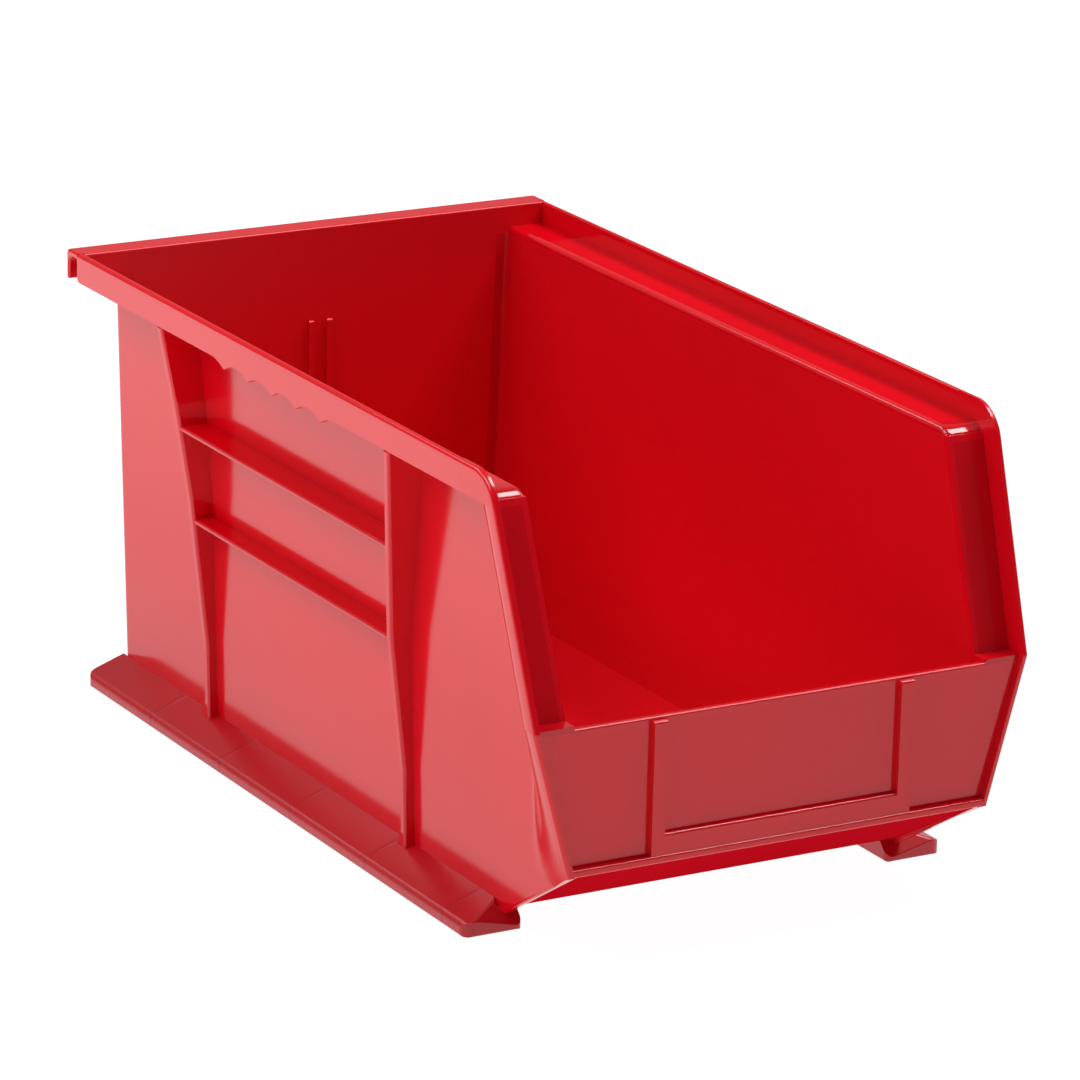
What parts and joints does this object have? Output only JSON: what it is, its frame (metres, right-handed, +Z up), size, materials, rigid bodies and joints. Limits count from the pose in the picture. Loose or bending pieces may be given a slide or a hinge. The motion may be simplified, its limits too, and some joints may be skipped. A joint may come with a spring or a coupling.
{
  "type": "stackable storage bin",
  "caption": "Hopper-front storage bin moulded in glossy red plastic, with a rear hanging lip, stepped stacking ledges, base runners, side hand grips and a front label frame.",
  "frame": {"origin": "on the plane the base runners rest on, midway between the two sides and between the front wall's plane and the rear lip", "axes": "+X to the right seen from the front, +Y from the hopper front towards the rear hanging lip, +Z up"},
  "size_m": [0.2096, 0.3746, 0.1778],
  "materials": {
    "bin_shell": "glossy injection-moulded polypropylene, red, one colour all through"
  },
  "bodies": {
    "root": {"base_runner_left": "bin_shell", "base_runner_right": "bin_shell", "chamfer_wall": "bin_shell", "floor_pan": "bin_shell", "front_flange_left": "bin_shell", "front_flange_right": "bin_shell", "front_return_left": "bin_shell", "front_return_right": "bin_shell", "front_wall": "bin_shell", "grip_band_left": "bin_shell", "grip_band_right": "bin_shell", "guide_rib_left": "bin_shell", "guide_rib_right": "bin_shell", "label_base_band": "bin_shell", "label_rib_left": "bin_shell", "label_rib_right": "bin_shell", "rear_hanger_lip": "bin_shell", "rear_wall": "bin_shell", "side_post_front_left": "bin_shell", "side_post_front_right": "bin_shell", "side_post_rear_left": "bin_shell", "side_post_rear_right": "bin_shell", "side_rib_lower_left": "bin_shell", "side_rib_lower_right": "bin_shell", "side_rib_upper_left": "bin_shell", "side_rib_upper_right": "bin_shell", "side_rim_left": "bin_shell", "side_rim_right": "bin_shell", "side_wall_left": "bin_shell", "side_wall_right": "bin_shell", "stacking_ledge_left": "bin_shell", "stacking_ledge_right": "bin_shell", "toe_flange": "bin_shell"}
  },
  "joints": []
}
